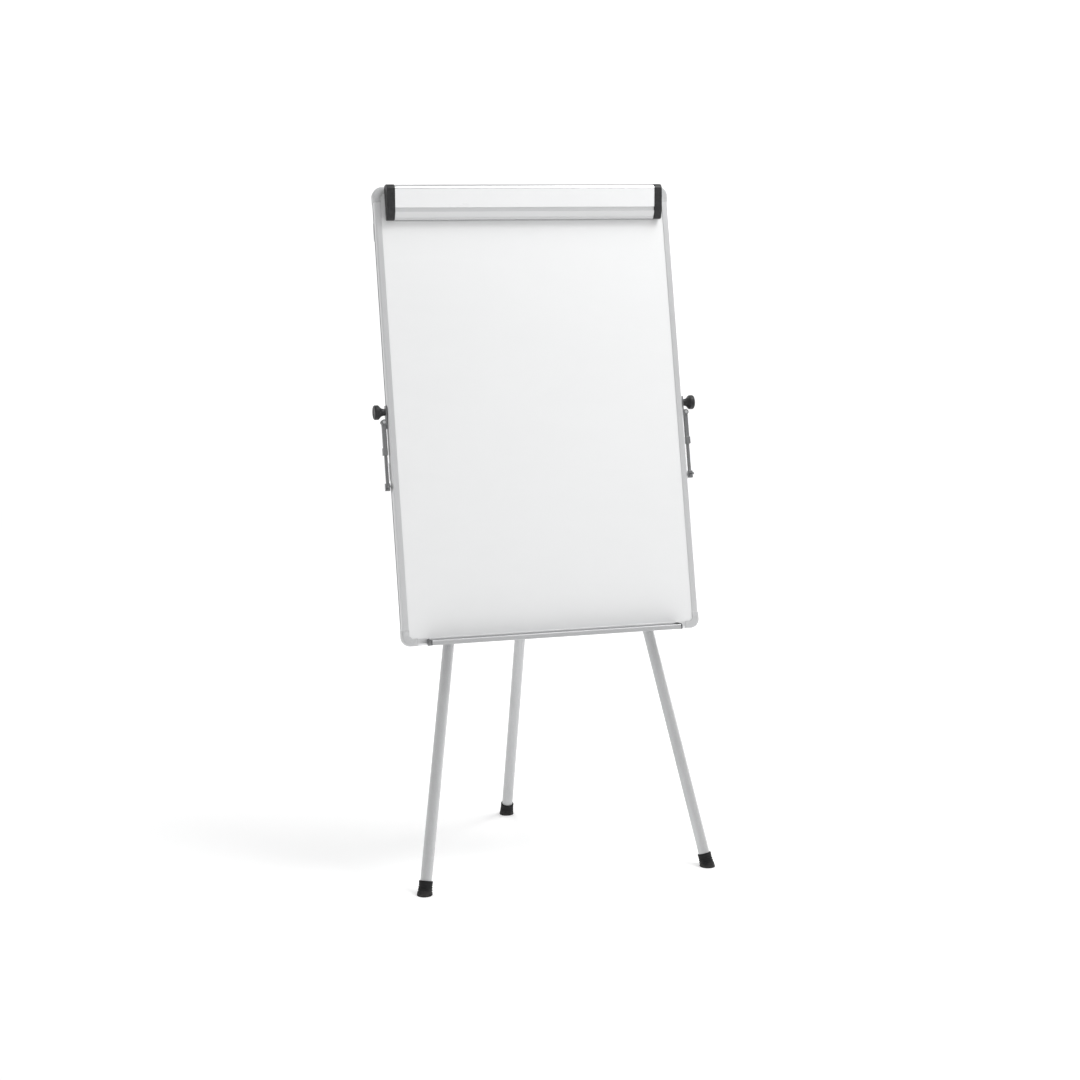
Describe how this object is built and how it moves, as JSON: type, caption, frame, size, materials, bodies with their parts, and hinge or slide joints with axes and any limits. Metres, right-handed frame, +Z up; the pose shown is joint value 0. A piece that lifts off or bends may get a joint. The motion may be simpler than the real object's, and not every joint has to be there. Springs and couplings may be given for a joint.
{
  "type": "flipchart easel",
  "caption": "Tripod easel with a framed magnetic whiteboard, a sprung clamp for a paper pad, a pen tray, telescopic legs and swing-out side arms.",
  "frame": {"origin": "on the floor, at the middle of the easel's outer box in X and Y", "axes": "+Z up, -Y towards the person writing, +X to that person's right when facing the board"},
  "size_m": [0.7362, 0.5323, 1.497],
  "materials": {
    "anodised_aluminium": "satin",
    "white_enamel": "gloss",
    "honeycomb_board": "matte",
    "galvanised_sheet": "satin",
    "cap_plastic": "matte",
    "black_plastic": "matte",
    "grey_plastic": "matte",
    "zinc_steel": "satin",
    "grey_coated_steel": "satin",
    "dark_coated_steel": "satin",
    "black_coated_steel": "matte",
    "grip_rubber": "matte",
    "foot_rubber": "matte"
  },
  "bodies": {
    "board": {"left_rail": "anodised_aluminium", "right_rail": "anodised_aluminium", "top_rail": "anodised_aluminium", "bottom_rail": "anodised_aluminium", "corner_caps": "cap_plastic", "writing_surface": "white_enamel", "board_core": "honeycomb_board", "back_sheet": "galvanised_sheet", "pen_tray": "anodised_aluminium", "pen_tray_caps": "grey_plastic", "clamp_base": "anodised_aluminium", "clamp_hinge_rod": "zinc_steel", "clamp_springs": "zinc_steel", "upper_cross_rail": "anodised_aluminium", "lower_cross_rail": "anodised_aluminium", "rail_screws": "zinc_steel", "head_bracket": "black_coated_steel", "pivot_bolts": "zinc_steel", "pivot_wing_nuts": "zinc_steel", "leg_hooks": "black_plastic", "rear_hinge_bracket": "black_coated_steel", "rear_hinge_pin": "zinc_steel"},
    "pad_clamp": {"clamp_bar": "anodised_aluminium", "clamp_end_caps": "black_plastic", "clamp_grip_strip": "grip_rubber"},
    "left_peg": {"left_pad_peg": "black_plastic"},
    "right_peg": {"right_pad_peg": "black_plastic"},
    "left_leg": {"left_leg_head": "black_plastic", "left_upper_tube": "grey_coated_steel", "left_lock_collar": "black_plastic"},
    "left_lower_leg": {"left_tube_bush": "black_plastic", "left_lower_tube": "grey_coated_steel", "left_foot": "foot_rubber"},
    "left_lock": {"left_lock_knob": "black_plastic"},
    "right_leg": {"right_leg_head": "black_plastic", "right_upper_tube": "grey_coated_steel", "right_lock_collar": "black_plastic"},
    "right_lower_leg": {"right_tube_bush": "black_plastic", "right_lower_tube": "grey_coated_steel", "right_foot": "foot_rubber"},
    "right_lock": {"right_lock_knob": "black_plastic"},
    "rear_leg": {"rear_leg_head": "black_plastic", "rear_upper_tube": "grey_coated_steel", "rear_lock_collar": "black_plastic"},
    "rear_lower_leg": {"rear_tube_bush": "black_plastic", "rear_lower_tube": "grey_coated_steel", "rear_foot": "foot_rubber"},
    "rear_lock": {"rear_lock_knob": "black_plastic"},
    "left_bracket": {"left_arm_bracket": "dark_coated_steel", "left_arm_nut": "zinc_steel", "left_arm_pin": "zinc_steel"},
    "left_knob": {"left_arm_knob": "black_plastic"},
    "left_sleeve": {"left_arm_sleeve": "dark_coated_steel"},
    "left_bar": {"left_arm_bar": "dark_coated_steel"},
    "right_bracket": {"right_arm_bracket": "dark_coated_steel", "right_arm_nut": "zinc_steel", "right_arm_pin": "zinc_steel"},
    "right_knob": {"right_arm_knob": "black_plastic"},
    "right_sleeve": {"right_arm_sleeve": "dark_coated_steel"},
    "right_bar": {"right_arm_bar": "dark_coated_steel"}
  },
  "joints": [
    {"name": "clamp_lift", "type": "hinge", "parent": "board", "child": "pad_clamp", "pos_m": [0, 0.09242, 1.48426], "axis": [-1, 0, 0], "range_deg": [0, 35], "stiffness_Nm_per_rad": 2, "springref_deg": -28.65},
    {"name": "left_peg_slide", "type": "slide", "parent": "board", "child": "left_peg", "axis": [1, 0, 0], "range_m": [-0.12, 0.1]},
    {"name": "right_peg_slide", "type": "slide", "parent": "board", "child": "right_peg", "axis": [1, 0, 0], "range_m": [-0.1, 0.12]},
    {"name": "left_leg_fold", "type": "hinge", "parent": "board", "child": "left_leg", "pos_m": [-0.0715, 0.1376, 1.38436], "axis": [0, -0.9632, 0.2689], "range_deg": [0, 9.95]},
    {"name": "left_leg_length", "type": "slide", "parent": "left_leg", "child": "left_lower_leg", "axis": [-0.1728, -0.2649, -0.9487], "range_m": [-0.45, 0.23]},
    {"name": "left_lock_turn", "type": "hinge", "parent": "left_leg", "child": "left_lock", "pos_m": [-0.2226, -0.06514, 0.54668], "axis": [0, 0.9632, -0.2689], "range_deg": [-180, 180]},
    {"name": "right_leg_fold", "type": "hinge", "parent": "board", "child": "right_leg", "pos_m": [0.0715, 0.1376, 1.38436], "axis": [0, 0.9632, -0.2689], "range_deg": [0, 9.95]},
    {"name": "right_leg_length", "type": "slide", "parent": "right_leg", "child": "right_lower_leg", "axis": [0.1728, -0.2649, -0.9487], "range_m": [-0.45, 0.23]},
    {"name": "right_lock_turn", "type": "hinge", "parent": "right_leg", "child": "right_lock", "pos_m": [0.2226, -0.06514, 0.54668], "axis": [0, 0.9632, -0.2689], "range_deg": [-180, 180]},
    {"name": "rear_leg_fold", "type": "hinge", "parent": "board", "child": "rear_leg", "pos_m": [0, 0.02417, 0.87157], "axis": [-1, 0, 0], "range_deg": [0, 28.4]},
    {"name": "rear_leg_length", "type": "slide", "parent": "rear_leg", "child": "rear_lower_leg", "axis": [0, 0.2497, -0.9683], "range_m": [-0.1, 0.05]},
    {"name": "rear_lock_turn", "type": "hinge", "parent": "rear_leg", "child": "rear_lock", "pos_m": [0, 0.13924, 0.54547], "axis": [0, 0.9683, 0.2497], "range_deg": [-180, 180]},
    {"name": "left_arm_height", "type": "slide", "parent": "board", "child": "left_bracket", "axis": [0, 0.2419, 0.9703], "range_m": [-0.25, 0.25]},
    {"name": "left_knob_turn", "type": "hinge", "parent": "left_bracket", "child": "left_knob", "pos_m": [-0.36, -0.00696, 1.01125], "axis": [-1, 0, 0], "range_deg": [-360, 360]},
    {"name": "left_arm_swing", "type": "hinge", "parent": "left_bracket", "child": "left_sleeve", "pos_m": [-0.3478, -0.01228, 0.9899], "axis": [0, 0.9703, -0.2419], "range_deg": [0, 90]},
    {"name": "left_arm_reach", "type": "slide", "parent": "left_sleeve", "child": "left_bar", "axis": [0, -0.2419, -0.9703], "range_m": [-0.01, 0.04]},
    {"name": "right_arm_height", "type": "slide", "parent": "board", "child": "right_bracket", "axis": [0, 0.2419, 0.9703], "range_m": [-0.25, 0.25]},
    {"name": "right_knob_turn", "type": "hinge", "parent": "right_bracket", "child": "right_knob", "pos_m": [0.36, -0.00696, 1.01125], "axis": [1, 0, 0], "range_deg": [-360, 360]},
    {"name": "right_arm_swing", "type": "hinge", "parent": "right_bracket", "child": "right_sleeve", "pos_m": [0.3478, -0.01228, 0.9899], "axis": [0, -0.9703, 0.2419], "range_deg": [0, 90]},
    {"name": "right_arm_reach", "type": "slide", "parent": "right_sleeve", "child": "right_bar", "axis": [0, -0.2419, -0.9703], "range_m": [-0.01, 0.04]}
  ]
}
